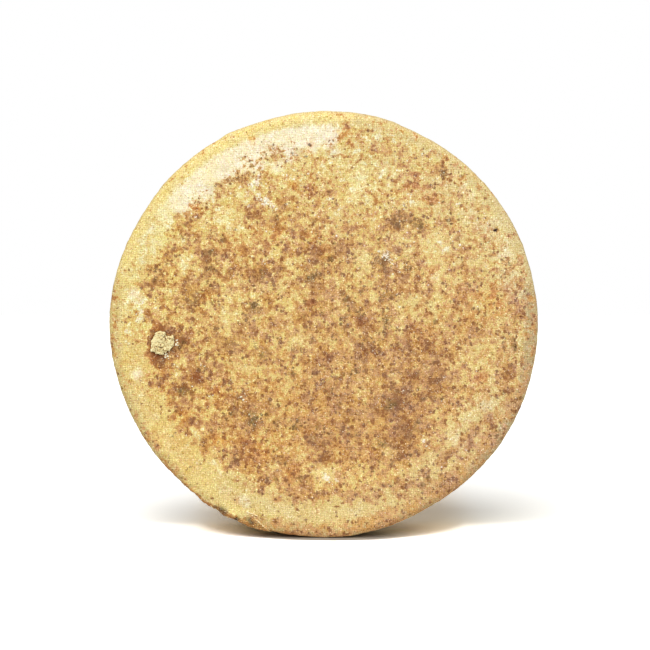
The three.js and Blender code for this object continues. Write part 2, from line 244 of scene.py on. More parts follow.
# Broad stretches of the faces that ripened more, less or more evenly than the rest.
BROWN_STRETCHES = (
    (58, -55, 20, 0.9), (72, -14, 18, 0.8), (60, -84, 14, 0.6), (84, -40, 14, 0.6), (10, -62, 34, 0.4),
    (56, 68, 14, 0.7), (46, 42, 14, 0.4), (6, 58, 12, 0.4), (-4, 26, 12, 0.5), (-45, 38, 12, 0.4),
    (-32, 80, 13, 0.6), (-80, 26, 12, 0.6), (-130, 34, 9, 0.9), (-96, -48, 14, 0.4),
    (-55, -97, 14, 0.2), (-8, -93, 10, 0.3), (-50, -62, 18, 0.5), (110, 8, 14, 0.4), (135, 20, 12, 0.4),
    (-88, 55, 12, 0.4), (-14, 66, 10, 0.3), (-22, 98, 8, 0.4), (32, -16, 16, 0.4), (-70, -20, 10, 0.5),
    (-122, -30, 9, 0.8), (-114, -60, 8, 0.6), (-30, -104, 8, 0.3), (-4, -6, 10, 0.4),
    (-36, -26, 8, 0.3), (16, 145, 7, 1.0), (-137, -8, 8, 0.9), (-130, -38, 8, 0.8), (-127, -58, 7, 0.6),
    (-25, -134, 8, 0.4), (-2, -138, 8, 0.4), (54, -32, 7, 0.6), (124, -66, 7, 0.6), (121, -82, 8, 0.9),
    (-56, 88, 7, 0.6), (-70, 62, 8, 0.6), (-76, 40, 6, 0.4), (-74, 8, 8, 0.4), (-38, 14, 7, 0.4),
    (5, 3, 7, 0.3), (52, 56, 8, 0.3), (100, 60, 8, 0.4), (66, 34, 8, 0.2), (-20, 121, 6, 0.6),
    (112, 42, 10, 0.5), (10, 38, 8, 0.5), (92, -118, 8, 0.9), (-36, -122, 9, 0.5), (-10, -132, 9, 0.4),
    (-108, 80, 7, 0.7), (-130, 26, 7, 0.5), (142, -58, 8, 0.6), (-48, 117, 5, 0.5), (-58, -5, 8, 0.4),
    (-28, -5, 7, 0.4), (-45, 28, 6, 0.4), (-78, 24, 8, 0.3), (-150, 6, 6, 0.6), (32, 18, 24, 0.25),
    (-34, -118, 13, 0.5), (4, -126, 14, 0.5), (-53, 52, 12, 0.25), (86, -52, 12, 0.25),
)
PALE_STRETCHES = (
    (-60, -28, 16, 0.7), (16, 88, 10, 0.7), (50, 92, 9, 0.6), (28, -116, 14, 0.6), (66, -106, 10, 0.9),
    (-110, 68, 9, 0.8), (118, 44, 14, 0.6), (114, -28, 15, 0.5), (114, -70, 15, 0.6),
    (-78, -98, 14, 0.4), (-52, 20, 9, 0.5), (-107, -32, 6, 0.5), (-28, -42, 12, 0.4),
    (10, 116, 16, 0.6), (-30, -118, 10, 0.2), (-66, 78, 10, 0.7), (-100, 46, 9, 0.5), (-74, 4, 10, 0.4),
    (84, 62, 12, 0.5), (30, 46, 8, 0.4), (-40, 122, 14, 0.7), (90, -6, 7, 0.4), (-20, 118, 8, 0.6),
    (30, -46, 10, 0.4), (74, -84, 6, 0.5), (-46, -84, 8, 0.5), (60, 98, 6, 0.5), (-12, -104, 6, 0.4),
    (-12, 135, 9, 1.0), (-75, 118, 9, 0.8), (-103, 92, 8, 0.9), (-50, 22, 8, 0.5), (-82, 80, 8, 0.4),
    (13, 24, 8, 0.5), (45, 80, 8, 0.4), (68, 75, 6, 0.4), (-95, -60, 11, 0.7), (53, -48, 6, 0.5),
    (145, -12, 7, 0.5), (-125, 18, 8, 0.5), (126, 20, 8, 0.4), (10, -112, 7, 0.3), (-57, 99, 9, 0.7),
    (-18, 108, 7, 0.6), (66, 93, 8, 0.5), (56, 20, 9, 0.7), (86, 20, 7, 0.6), (18, -30, 6, 0.6),
    (-28, 78, 7, 0.5), (34, 96, 8, 0.4), (-85, 97, 7, 0.5), (-10, 90, 6, 0.4), (50, 140, 8, 0.5),
    (85, 90, 7, 0.4), (-35, -90, 7, 0.4), (-45, -68, 6, 0.4), (-92, -45, 8, 0.5), (-113, -28, 6, 0.5),
    (-115, 30, 7, 0.4), (-90, 60, 7, 0.4), (110, 22, 8, 0.4), (35, 25, 6, 0.4), (115, 95, 8, 0.4),
    (88, 102, 12, 0.4), (72, 92, 8, 0.4), (104, 78, 10, 0.5), (62, 122, 10, 0.5), (36, 124, 10, 0.4),
    (128, -12, 8, 0.4), (0, -124, 12, 0.4), (-20, 20, 7, 0.4), (60, 8, 8, 0.4),
)
CALM_STRETCHES = (
    (-18, -50, 34, 0.6), (20, -22, 32, 0.5), (20, -62, 28, 0.5), (96, -118, 30, 0.9),
    (-86, -90, 18, 0.5), (122, 86, 20, 0.5), (92, 16, 24, 0.4), (126, 8, 20, 0.3), (0, 30, 30, 0.45),
    (126, -84, 24, 0.6),
)
# Hollows in the torn edge: crumbs are kept out of them, and they are darkened with painted shade.
TORN_HOLLOWS = (
    (-76.9, -136.6, 2.3, 1.0), (-73.9, -138.5, 2.3, 1.0), (-65.4, -143.8, 2.2, 1.0),
    (-55.4, -144.5, 2.0, 0.9), (-53.6, -146.4, 1.9, 0.9), (-81.2, -134.4, 1.5, 0.8),
)
# Bands that follow the rim: from one angle to another in degrees from +X, their radius and half
# width in millimetres, and how strong they are.
CREAM_ARCS = (
    (89, 139, 140.5, 8.5, 0.9), (141, 150, 144, 5, 0.2), (148, 166, 143, 7, 0.1),
    (200, 246, 144, 6, 0.15), (246, 290, 141, 7, 0.15), (12, 50, 142, 9, 0.2),
)
# The cool bands are a greyer hue and also painted shade, most of all at the bottom.
COOL_SHADE_ARCS = (
    (240, 305, 138, 13, 1.0), (305, 335, 140, 20, 0.7), (20, 75, 132, 20, 0.3), (-35, 10, 145, 14, 0.5),
    (160, 205, 146, 12, 0.3),
)
# The tan bands are tan rind, and at the bottom and lower right they are also painted shade.
TAN_AND_SHADE_ARCS = (
    (-78, 8, 152, 11, 1.0), (-64, -34, 140, 9, 0.6), (170, 238, 157, 7, 0.5), (-110, -70, 155, 9, 0.85),
    (8, 80, 156, 6, 0.5), (135, 172, 157, 5, 0.15), (-60, -10, 150, 10, 0.6), (222, 252, 160, 3.5, 0.9),
)
CALM_ARCS = (
    (190, 268, 143, 16, 0.8), (92, 165, 144, 9, 0.8), (280, 345, 142, 15, 0.6),
)
TORN_ARCS = ((221, 262, 160, 4.0, 1.0),)
BACK_TURN = math.radians(137)
BARE_HEEL = 12
MARKS_FADE = 20


def face_share(places):
    """1 on the faces, down to 0 in the middle of the heel."""
    from_middle = np.abs(places[:, 1] - WHEEL_CENTRE.y) / MM
    return np.clip((from_middle - BARE_HEEL) / MARKS_FADE, 0, 1)


def face_places(places):
    """The places across and up on their own face, in millimetres; the back's marks are turned."""
    across = (places[:, 0] - WHEEL_CENTRE.x) / MM
    up = (places[:, 2] - WHEEL_CENTRE.z) / MM
    back = places[:, 1] > WHEEL_CENTRE.y
    turned = np.where(back, across * math.cos(BACK_TURN) - up * math.sin(BACK_TURN), across)
    raised = np.where(back, across * math.sin(BACK_TURN) + up * math.cos(BACK_TURN), up)
    return turned, raised


def mark_strength(places, marks):
    """How strongly the marks cover each place, from 0 to 1, fading out softly round each one."""
    turned, raised = face_places(places)
    bare = np.ones(len(places))
    for mark_across, mark_up, radius, strength in marks:
        distance = np.hypot(turned - mark_across, raised - mark_up) / radius
        bare *= 1 - strength * np.exp(-distance ** 2)
    return (1 - bare) * face_share(places)


def arc_strength(places, arcs):
    """The same for bands that follow the rim."""
    turned, raised = face_places(places)
    angle = np.degrees(np.arctan2(raised, turned))
    bare = np.ones(len(places))
    for first, last, radius, width, strength in arcs:
        middle = (first + last) / 2
        beyond = np.abs((angle - middle + 180) % 360 - 180) - (last - first) / 2
        ends = np.clip(beyond, 0, None) * math.radians(radius) / width
        distance = np.hypot((np.hypot(turned, raised) - radius) / width, ends)
        bare *= 1 - strength * np.exp(-distance ** 4)
    return (1 - bare) * face_share(places)


def keep_marks(piece, name, strength):
    """Stores the strength on the piece's vertices, where its material reads it."""
    made = piece.data.attributes.new(name, "FLOAT", "POINT")
    made.data.foreach_set("value", strength.astype(np.float32))


rind_points = points_of(rind)
for mark_name, marks in (
        ("brown", BROWN_STAINS), ("olive", OLIVE_STAINS), ("red", RED_STAINS),
        ("orange", ORANGE_STAINS), ("bloom", WHITE_BLOOM), ("pale", PALE_PATCHES),
        ("browner", BROWN_STRETCHES), ("paler", PALE_STRETCHES)):
    keep_marks(rind, mark_name, mark_strength(rind_points, marks))
for mark_name, marks, arcs in (
        ("cream", CREAM_PATCHES, CREAM_ARCS), ("calm", CALM_STRETCHES, CALM_ARCS),
        ("tanned_and_shaded", (), TAN_AND_SHADE_ARCS), ("cool_shade", (), COOL_SHADE_ARCS)):
    keep_marks(rind, mark_name, np.maximum(mark_strength(rind_points, marks),
                                           arc_strength(rind_points, arcs)))
in_front = rind_points[:, 1] < WHEEL_CENTRE.y
keep_marks(rind, "torn", arc_strength(rind_points, TORN_ARCS) * in_front)
keep_marks(rind, "hollow_shade", mark_strength(rind_points, TORN_HOLLOWS) * in_front)


def tone(seen):
    """A colour given as it is seen, 0 to 255, in the light values that a shader takes."""
    shares = (value / 255 for value in seen)
    light = [((v + 0.055) / 1.055) ** 2.4 if v > 0.04045 else v / 12.92 for v in shares]
    return (*light, 1.0)


def new_material(name):
    """A material with nodes, and its node tree."""
    made = bpy.data.materials.new(name)
    made.use_nodes = True
    return made, made.node_tree


def add_node(tree, kind, wires=None, **settings):
    """A shader node with its settings. Each input is wired to a socket or set to a value."""
    made = tree.nodes.new(kind)
    for setting, value in settings.items():
        setattr(made, setting, value)
    for place, value in (wires or {}).items():
        if isinstance(value, bpy.types.NodeSocket):
            tree.links.new(value, made.inputs[place])
        else:
            made.inputs[place].default_value = value
    return made


def next_node(kind, wires, **settings):
    """A node in the same tree as the sockets that it is wired to."""
    tree = next(value.id_data for value in wires.values() if isinstance(value, bpy.types.NodeSocket))
    return add_node(tree, kind, wires, **settings)


def sum_up(operation, *values, clamp=False):
    """The result of one Math node."""
    made = next_node("ShaderNodeMath", dict(enumerate(values)), operation=operation)
    made.use_clamp = clamp
    return made.outputs[0]


def vector_sum(operation, *values):
    """The result of one Vector Math node: a number for a length or a product, else a vector."""
    made = next_node("ShaderNodeVectorMath", dict(enumerate(values)), operation=operation)
    gives_number = operation in ("LENGTH", "DISTANCE", "DOT_PRODUCT")
    return made.outputs["Value" if gives_number else "Vector"]


def scaled(colour, scale):
    """The colour made lighter or darker."""
    return next_node("ShaderNodeVectorMath", {0: colour, "Scale": scale},
                     operation="SCALE").outputs["Vector"]


def noise(place, size, detail, rough):
    """A noise node with patches of about that size."""
    return next_node("ShaderNodeTexNoise", {
        "Vector": place, "Scale": 1 / size, "Detail": detail, "Roughness": rough})


def rough_noise(place, size, detail, rough, weight, shift=0.0):
    """Noise round zero, times the weight."""
    made = noise(vector_sum("ADD", place, (shift,) * 3), size, detail, rough)
    return sum_up("MULTIPLY_ADD", made.outputs["Fac"], weight, -weight / 2)


def share_of(value, low, high, start=0.0, end=1.0):
    """A soft step of the value, from start at low to end at high."""
    made = next_node("ShaderNodeMapRange", {
        "Value": value, "From Min": low, "From Max": high, "To Min": start, "To Max": end},
                     interpolation_type="SMOOTHSTEP")
    return made.outputs["Result"]


def blend(share, under, over, kind="MIX"):
    """One colour over another, by the share."""
    made = next_node("ShaderNodeMix", {0: share, 6: under, 7: over}, data_type="RGBA", blend_type=kind)
    return made.outputs[2]


def mark(tree, name):
    """A mark's strength, as stored on the piece."""
    return add_node(tree, "ShaderNodeAttribute", attribute_name=name).outputs["Fac"]


def finish_surface(material, colour, roughness, gloss, height, depth, strength):
    """Gives the material its colour, its matt finish and a fine bump."""
    tree = material.node_tree
    surface = tree.nodes["Principled BSDF"]
    tree.links.new(colour, surface.inputs["Base Color"])
    surface.inputs["Roughness"].default_value = roughness
    surface.inputs["Specular IOR Level"].default_value = gloss
    bump = next_node("ShaderNodeBump", {"Height": height, "Distance": depth, "Strength": strength})
    tree.links.new(bump.outputs["Normal"], surface.inputs["Normal"])


# Noises of the rind, by size, detail, roughness, weight and shift.
WANDER = (11 * MM, 3.0, 0.65, 0.30, 0.3)
THREAD_BEND = (20 * MM, 1.0, 0.5, 3.0 * MM, 0.7)
WIDE_RIPENING = (24 * MM, 1.0, 0.5, 0.14, 0.1)
HEEL_RIPENING = (34 * MM, 2.0, 0.6, 1.1, 0.4)
PATCHES = (5.2 * MM, 3.0, 0.72, 1.6, 0.2)
WARM_PATCHES = (9 * MM, 3.0, 0.6, 1.0, 0.6)
GREEN_PATCHES = (12 * MM, 3.0, 0.6, 1.0, 0.8)
GREY_PATCHES = (5.5 * MM, 3.0, 0.75, 0.62, 0.9)
POWDER = (2.4 * MM, 2.0, 0.7, 1.5, 0.5)
# Tones of the rind as they are seen; a pair is what a tone varies between. The flush tones tint
# what lies under them.
GROUND_TONES = ((229, 204, 131), (227, 196, 122))
LIGHT_TONES = ((238, 224, 156), (241, 233, 192))
CREAM_TONES = ((250, 240, 208), (245, 230, 194))
RIM_TONES = ((235, 213, 142), (196, 171, 117))
HEEL_TONE = (226, 200, 140)
TAN_TONES = ((213, 161, 91), (206, 154, 102))
BROWN_TONES = ((188, 136, 78), (178, 132, 92))
OLIVE_TONE = (162, 132, 80)
DARK_TONE = (138, 96, 58)
DAB_TONES = ((148, 95, 50), (134, 93, 65))
OLIVE_DAB_TONE = (118, 94, 56)
HALO_TONE = (192, 134, 84)
PALE_TONE = (246, 226, 168)
POWDER_TONE = (252, 244, 222)
TORN_TONES = ((190, 134, 70), (170, 112, 62))
# The hollow tone paints shade in the hollows of the torn edge.
HOLLOW_SHADE_TONE = (78, 54, 32)
# The speck tone paints shade in the pits of the front face.
PIT_SHADE_TONE = (52, 26, 22)
SPARKLE_TONE = (255, 244, 206)
FLUSH_TONES = (("red", (248, 226, 220)), ("orange", (255, 234, 200)))
# The cool tint is a cooler hue with painted shade.
COOL_SHADE_TINT = (0.93, 0.95, 1.06, 1.0)
rind_material, tree = new_material("natural_rind")
seat = add_node(tree, "ShaderNodeTexCoord").outputs["Object"]
at = next_node("ShaderNodeMapping", {
    "Vector": seat, "Location": tuple(-WHEEL_CENTRE)}).outputs["Vector"]
across, along, up = next_node("ShaderNodeSeparateXYZ", {0: at}).outputs


def radial_share(right, raised):
    """How far out a place is on the face, 1 at the rim, from a middle moved by that much."""
    moved = vector_sum("ADD", at, (-right, 0, -raised))
    length = vector_sum("LENGTH", vector_sum("MULTIPLY", moved, (1, 0, 1)))
    return sum_up("DIVIDE", length, WHEEL_RADIUS)


# The zones: the ripe middle of a face, which lies a little up and to the right, the paler rim,
# the heel, and the bare cream parts of the rim.
RIPE_MIDDLE = (8 * MM, 8 * MM)
radial = radial_share(0.0, 0.0)
wander = rough_noise(at, *WANDER)
centre_share = share_of(sum_up("ADD", radial_share(*RIPE_MIDDLE), wander), 0.84, 0.90, 1.0, 0.0)
rim_share = share_of(sum_up("MULTIPLY_ADD", wander, 0.25, radial), 0.92, 0.95)
heel_share = share_of(radial, 0.972, 0.985)
cream_share = share_of(sum_up("MULTIPLY_ADD", wander, 2.0, mark(tree, "cream")), 0.05, 0.70, 0.0, 0.95)

# Threads: across and up on the faces, round and along on the heel.
THREAD_PITCH = 1.65 * MM
THREAD_TURNS = 2 * math.pi / THREAD_PITCH
HEEL_THREADS = round(THREAD_TURNS * WHEEL_RADIUS)
bent = rough_noise(at, *THREAD_BEND)


def thread(place, turns, moved):
    """The height of threads that lie side by side, from -1 in a gap to 1 on a thread."""
    return sum_up("COSINE", sum_up("MULTIPLY", sum_up("ADD", place, moved), turns))


face_cloth = sum_up("MULTIPLY_ADD", thread(across, THREAD_TURNS, bent), 0.8,
                    thread(up, THREAD_TURNS, bent))
heel_cloth = sum_up("ADD", thread(sum_up("ARCTAN2", up, across), HEEL_THREADS, 0.0),
                    thread(along, THREAD_TURNS, bent))
cloth = next_node("ShaderNodeMix", {0: heel_share, 2: face_cloth, 3: heel_cloth}).outputs[0]

# The rind is browner round the plug, and the brown reaches farther at its right, where it is painted
# shadow of the raised plug.
HALO_RIGHT, HALO_RAISE = 2 * MM, 1 * MM
HALO_RADIUS, HALO_FULL_RADIUS = 16 * MM, 9 * MM
HALO_WANDER = 55 * MM
PLUG_LOW, PLUG_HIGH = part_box("curd_plug")
PLUG_MIDDLE = (PLUG_LOW + PLUG_HIGH) / 2 - WHEEL_CENTRE
halo_middle = (PLUG_MIDDLE.x + HALO_RIGHT, PLUG_LOW.y, PLUG_MIDDLE.z + HALO_RAISE)
from_halo = sum_up("MULTIPLY_ADD", wander, HALO_WANDER, vector_sum("DISTANCE", at, halo_middle))
halo_and_shadow = share_of(from_halo, HALO_RADIUS, HALO_FULL_RADIUS)

# How ripe a place is: the sum of all that browns it, each with its weight; the tan bands in it are
# in part painted shade. The slopes are what a metre across, along or up changes.
# The browning slope makes the rind browner towards the bottom and a little towards the left.
BROWNING_SLOPE = (-0.15, 0, -0.45)
CONTRAST_SLOPE = (-1.3, 0, 1.8)
heel_stains = sum_up("ADD", rough_noise(at, *HEEL_RIPENING), 0.14)
off_the_rims = share_of(sum_up("ABSOLUTE", along), 33 * MM, 15 * MM)
stains = sum_up("ADD", mark(tree, "brown"), sum_up("MULTIPLY", mark(tree, "olive"), 0.5))
stains = sum_up("MULTIPLY_ADD", mark(tree, "red"), 0.4, stains)
ripeness = rough_noise(at, *WIDE_RIPENING)
for cause, weight in (
        (stains, 0.33), (mark(tree, "pale"), -0.35), (centre_share, 0.32),
        (mark(tree, "browner"), 0.18), (mark(tree, "paler"), -0.24), (mark(tree, "tanned_and_shaded"), 0.26),
        (sum_up("MULTIPLY", heel_share, off_the_rims), heel_stains),
        (vector_sum("DOT_PRODUCT", at, BROWNING_SLOPE), 1.0),
        (cream_share, -0.14), (halo_and_shadow, 0.17)):
    ripeness = sum_up("MULTIPLY_ADD", cause, weight, ripeness)
lively = sum_up("ADD", sum_up("MULTIPLY_ADD", mark(tree, "calm"), -0.6, 1.1),
                vector_sum("DOT_PRODUCT", at, CONTRAST_SLOPE))
patches = sum_up("MULTIPLY", rough_noise(at, *PATCHES), lively)
browning = sum_up("ADD", ripeness, patches)
clumped = sum_up("MULTIPLY_ADD", patches, 0.45, ripeness)
warm_hue = share_of(rough_noise(at, *WARM_PATCHES), -0.14, 0.14)
green_hue = share_of(rough_noise(at, *GREEN_PATCHES), 0.02, 0.22)
green_hue = sum_up("ADD", green_hue, mark(tree, "olive"), clamp=True)


def between(tones, share):
    """A tone between the two, by the share."""
    return blend(share, tone(tones[0]), tone(tones[1]))


def dabs(size, shift, density):
    """Small ragged dabs, at most one to a cell, in that share of the cells."""
    jitter = noise(at, size / 1.5, 3.0, 0.7)
    moved = vector_sum("MULTIPLY_ADD", jitter.outputs["Color"], (size * 1.3,) * 3, at)
    cells = next_node("ShaderNodeTexVoronoi", {
        "Vector": vector_sum("ADD", moved, (shift,) * 3), "Scale": 1 / size,
        "Randomness": 1.0})
    chance = next_node("ShaderNodeSeparateColor", {0: cells.outputs["Color"]}).outputs[0]
    reach = sum_up("ADD", sum_up("SUBTRACT", chance, 0.65), density)
    frayed = sum_up("MULTIPLY_ADD", jitter.outputs["Fac"], 0.7, cells.outputs["Distance"])
    return share_of(sum_up("SUBTRACT", reach, frayed), -0.05, 0.16)


# The bare rind: straw yellow, paler where it is least ripe, with its rim, heel and cream parts.
light = sum_up("MULTIPLY", share_of(browning, 0.08, -0.12), lively)
ground = blend(light, between(GROUND_TONES, warm_hue), between(LIGHT_TONES, warm_hue))
# The rim's tone runs from pale to tan by the tan bands, which are in part painted shade.
rim = blend(sum_up("MULTIPLY", heel_share, 0.45),
            between(RIM_TONES, mark(tree, "tanned_and_shaded")), tone(HEEL_TONE))
colour = blend(rim_share, ground, rim)
colour = blend(cream_share, colour, between(CREAM_TONES, warm_hue))

# Ripening lays a tan veil on it, then brown patches, then dark ones: where each begins, where it
# is full, and how strongly it then covers.
brown_tone = blend(green_hue, between(BROWN_TONES, warm_hue), tone(OLIVE_TONE))
for begins, full, strength, layer_tone in (
        (0.18, 0.36, 0.90, between(TAN_TONES, warm_hue)), (0.37, 0.50, 0.85, brown_tone),
        (0.56, 0.72, 0.75, tone(DARK_TONE))):
    layer = share_of(browning, begins, full, 0.0, strength)
    colour = blend(layer, colour, layer_tone)
# The halo's brown is, at the plug's right, painted shadow of the plug.
colour = blend(sum_up("MULTIPLY", halo_and_shadow, 0.3), colour, tone(HALO_TONE))

# Brown dabs on top, more of them in the ripe patches: their size, the shift of their cells, how
# much ripeness adds to their number, their least number, and how strongly they cover.
BROWN_DABS = (
    (4.6 * MM, 0.31, 0.9, 0.19, 0.75),
    (2.9 * MM, 0.47, 1.0, 0.26, 0.88),
    (1.9 * MM, 0.19, 0.9, 0.17, 0.55),
)
dab_tone = blend(green_hue, between(DAB_TONES, warm_hue), tone(OLIVE_DAB_TONE))
for size, shift, weight, least, strength in BROWN_DABS:
    spread = dabs(size, shift, sum_up("MULTIPLY_ADD", clumped, weight, least))
    colour = blend(sum_up("MULTIPLY", spread, strength), colour, dab_tone)
colour = blend(sum_up("MULTIPLY", mark(tree, "pale"), 0.35), colour, tone(PALE_TONE))
for mark_name, flush_tone in FLUSH_TONES:
    cover = sum_up("MULTIPLY_ADD", patches, 1.2, mark(tree, mark_name))
    colour = blend(share_of(cover, 0.1, 1.0), colour, tone(flush_tone), "MULTIPLY")

# White bloom: small flecks everywhere, and more of them, with a powder, in the marked spots.
bloom = mark(tree, "bloom")
fleck_share = sum_up("MULTIPLY_ADD", bloom, 0.50, sum_up("MULTIPLY_ADD", wander, -0.5, 0.20))
flecks = sum_up("MULTIPLY", dabs(2.6 * MM, 0.73, fleck_share), 0.8)
powder = share_of(sum_up("ADD", rough_noise(at, *POWDER), bloom), 0.62, 1.0, 0.0, 0.8)
colour = blend(sum_up("MAXIMUM", flecks, powder), colour, tone(POWDER_TONE))

# Along the torn edge the rind is ochre brown, and the hollows are darkened with painted shade.
torn = share_of(sum_up("MULTIPLY_ADD", patches, 1.5, mark(tree, "torn")), 0.2, 0.9, 0.0, 0.8)
colour = blend(torn, colour, between(TORN_TONES, warm_hue))
colour = blend(mark(tree, "hollow_shade"), colour, tone(HOLLOW_SHADE_TONE))

# Painted shade in the pits of the front face: flat, ragged dark spots, listed like the marks.
PIT_SHADE_SPECKS = (
    (126.5, 71.7, 2.3, 1.0), (-10.3, 134.3, 1.7, 0.7), (-23.5, 128.5, 1.5, 0.6),
    (-13.2, 125.6, 1.5, 0.6), (36.0, -107.6, 1.6, 0.6), (-36.0, -129.0, 1.8, 0.6),
    (-99.4, -104.9, 1.4, 0.5), (-102.7, -106.8, 1.1, 0.4), (-23.8, -132.7, 1.2, 0.6),
    (-104.7, -118.8, 1.2, 0.5), (-98.2, -125.2, 1.2, 0.5), (-92.6, -126.2, 1.3, 0.5),
)
SPECK_FRAY = 3
SPECK_FLATNESS = 1.35
front_side = share_of(along, 0.0, -10 * MM)
ragged = noise(at, 2 * MM, 1.0, 0.5).outputs["Color"]
front_place = vector_sum("MULTIPLY_ADD", ragged, (SPECK_FRAY * MM,) * 3, at)
front_place = vector_sum("MULTIPLY", front_place, (1, 0, SPECK_FLATNESS))
for speck_across, speck_up, radius, strength in PIT_SHADE_SPECKS:
    middle = ((speck_across + SPECK_FRAY / 2) * MM, 0,
              (speck_up + SPECK_FRAY / 2) * SPECK_FLATNESS * MM)
    cover = share_of(vector_sum("DISTANCE", front_place, middle),
                     radius * MM, radius * 0.5 * MM, 0.0, strength)
    colour = blend(sum_up("MULTIPLY", cover, front_side), colour, tone(PIT_SHADE_TONE))

# The rind is greyer towards the right, and in patches; the cool bands of the rim are greyer and darker
# too, a cooler hue with painted shade.
GREY_SLOPE = (0.6, 0, 0.07)
greyer = sum_up("SUBTRACT", vector_sum("DOT_PRODUCT", at, GREY_SLOPE), 0.02)
greyer = sum_up("MULTIPLY_ADD", rough_noise(at, *GREY_PATCHES), lively, greyer)
leaning = vector_sum("MULTIPLY_ADD", greyer, (0.0, 0.1, 1.1), (1.0, 1.0, 1.0))
colour = blend(1.0, colour, leaning, "MULTIPLY")
colour = blend(mark(tree, "cool_shade"), colour, COOL_SHADE_TINT, "MULTIPLY")

# The grain of the rind and the shade between the threads, as lighter, darker and greyer tones.
GRAIN = (0.9 * MM, 1.0, 0.7)
grain = noise(at, *GRAIN)


def fibres(stretch, shift):
    """Fine noise drawn out along the threads that run one way."""
    stretched = vector_sum("MULTIPLY_ADD", at, stretch, (shift,) * 3)
    return sum_up("SUBTRACT", noise(stretched, *GRAIN).outputs["Fac"], 0.5)


sparkle = share_of(grain.outputs["Fac"], 0.64, 0.76, 0.0, 0.55)
colour = blend(sparkle, colour, tone(SPARKLE_TONE))
crumbly = sum_up("ADD", fibres((0.35, 0.8, 1.0), 0.11), fibres((1.0, 0.8, 0.35), 0.37))
crumbly = sum_up("MULTIPLY_ADD", sum_up("SUBTRACT", grain.outputs["Fac"], 0.5), 1.4, crumbly)
sparse = sum_up("MULTIPLY_ADD", sum_up("ABSOLUTE", crumbly), 0.65, 0.18)
crumbly = sum_up("MULTIPLY", crumbly, sparse)
crumbly = sum_up("MULTIPLY", crumbly, share_of(cream_share, 0.0, 1.0, 1.0, 0.65))
flecked = vector_sum("MULTIPLY_ADD", grain.outputs["Color"], (0.2, 0.55, 0.6), (0.9, 0.725, 0.7))
shade = vector_sum("MULTIPLY_ADD", crumbly, (1.5, 2.3, 3.4), flecked)
colour = blend(1.0, colour, shade, "MULTIPLY")
thread_depth = share_of(sum_up("MULTIPLY_ADD", wander, 0.5, radial), 0.75, 0.97, 0.025, 0.06)
thread_depth = sum_up("MULTIPLY", thread_depth, share_of(cream_share, 0.0, 1.0, 1.0, 0.5))
colour = scaled(colour, sum_up("MULTIPLY_ADD", cloth, thread_depth, 1.0))
finish_surface(rind_material, colour, 0.75, 0.3,
               sum_up("MULTIPLY_ADD", cloth, 0.12, crumbly), 0.25 * MM, 0.8)
rind.data.materials.append(rind_material)
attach(rind, "root")
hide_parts("cheese_wheel")

# The ragged lip: at the lower left the rind's edge has torn in the hoop, and crumbly curd shows.
# Its crumbs are one knobbly strip that grips the rounded edge, with a pale ridge along its top.
EDGE_START = 153 * MM
EDGE_REACH = 5.8 * MM
EDGE_DROP = 5.8 * MM
FACE_FRONT = -38.8 * MM
LIP_CRUMBS = 260
LIP_CRUMB_SIZES = (1.0, 2.1)
LIP_CRUMB_STRETCHES = ((1.0, 1.9), (0.7, 1.0), (0.5, 0.8))
LIP_OUTER_RADIUS = 160.4 * MM
RIDGE_CRUMBS = 34
RIDGE_CRUMB_SIZES = (0.9, 1.4)
RIDGE_STRETCH = (1.8, 0.9, 0.55)
RIDGE_LIFT = 0.2 * MM
LIP_START, LIP_WIDENS, LIP_NARROWS, LIP_END = 228.0, 247.3, 250.6, 255.6
# Each stretch of the lip: its first and last angle, how far from the middle it begins in
# millimetres, and how much farther out that is at its last angle.
LIP_STRETCHES = (
    (LIP_START, LIP_WIDENS, 159.0, -4.0), (LIP_WIDENS, LIP_NARROWS, 149.6, 0.0),
    (LIP_NARROWS, LIP_END, 152.6, 6.4),
)
LIP_CRESTS = (
    (-79.4, -137.4, 1.6, 0.8), (-71.9, -141.0, 1.6, 0.8), (-67.6, -142.6, 1.4, 0.7),
    (-56.6, -138.4, 1.6, 1.0), (-53.7, -139.8, 1.6, 1.0), (-50.7, -141.2, 1.6, 1.0),
    (-48.2, -145.3, 1.6, 1.0), (-44.5, -147.5, 1.8, 1.0), (-42.4, -149.4, 1.6, 0.9),
    (-60.8, -146.0, 1.2, 0.6), (-58.2, -141.0, 1.0, 0.7), (-52.0, -144.2, 1.0, 0.6),
)
LIP_VOXEL = 0.26 * MM
TILT = 0.4
rng = np.random.default_rng(31)


def on_front(degrees, radius):
    """A place on the front face or its rounded edge, by angle and by distance from the middle."""
    turn = math.asin(min(max((radius - EDGE_START) / EDGE_REACH, 0.0), 1.0))
    back = FACE_FRONT + EDGE_DROP * (1 - math.cos(turn))
    angle = math.radians(degrees)
    return WHEEL_CENTRE + Vector((radius * math.cos(angle), back, radius * math.sin(angle)))


def lip_edge(degrees):
    """How far from the middle of the wheel the lip begins at that angle."""
    first, last, start, gain = next(row for row in LIP_STRETCHES if degrees < row[1])
    return (start + gain * (degrees - first) / (last - first)) * MM


def drawn(limits):
    """A random number between each pair of limits."""
    return tuple(rng.uniform(low, high) for low, high in limits)


def crumb(size, stretch, place, facing):
    """One knobbly crumb of that size, stretched, put in its place and turned."""
    bpy.ops.mesh.primitive_ico_sphere_add(subdivisions=2, radius=size / 2)
    made = bpy.context.object
    bpy.ops.object.mode_set(mode="EDIT")
    bpy.ops.mesh.select_all(action="SELECT")
    bpy.ops.transform.vertex_random(offset=size * 0.14, uniform=0.6, normal=0.4,
                                    seed=int(rng.integers(1000)))
    bpy.ops.object.mode_set(mode="OBJECT")
    made.scale = stretch
    made.rotation_euler = facing
    made.location = place
    return made


def on_rind(place, lift):
    """The nearest place on the rind, raised from it by the lift."""
    _, seat_place, outward, _ = rind.closest_point_on_mesh(place)
    return seat_place + outward * lift


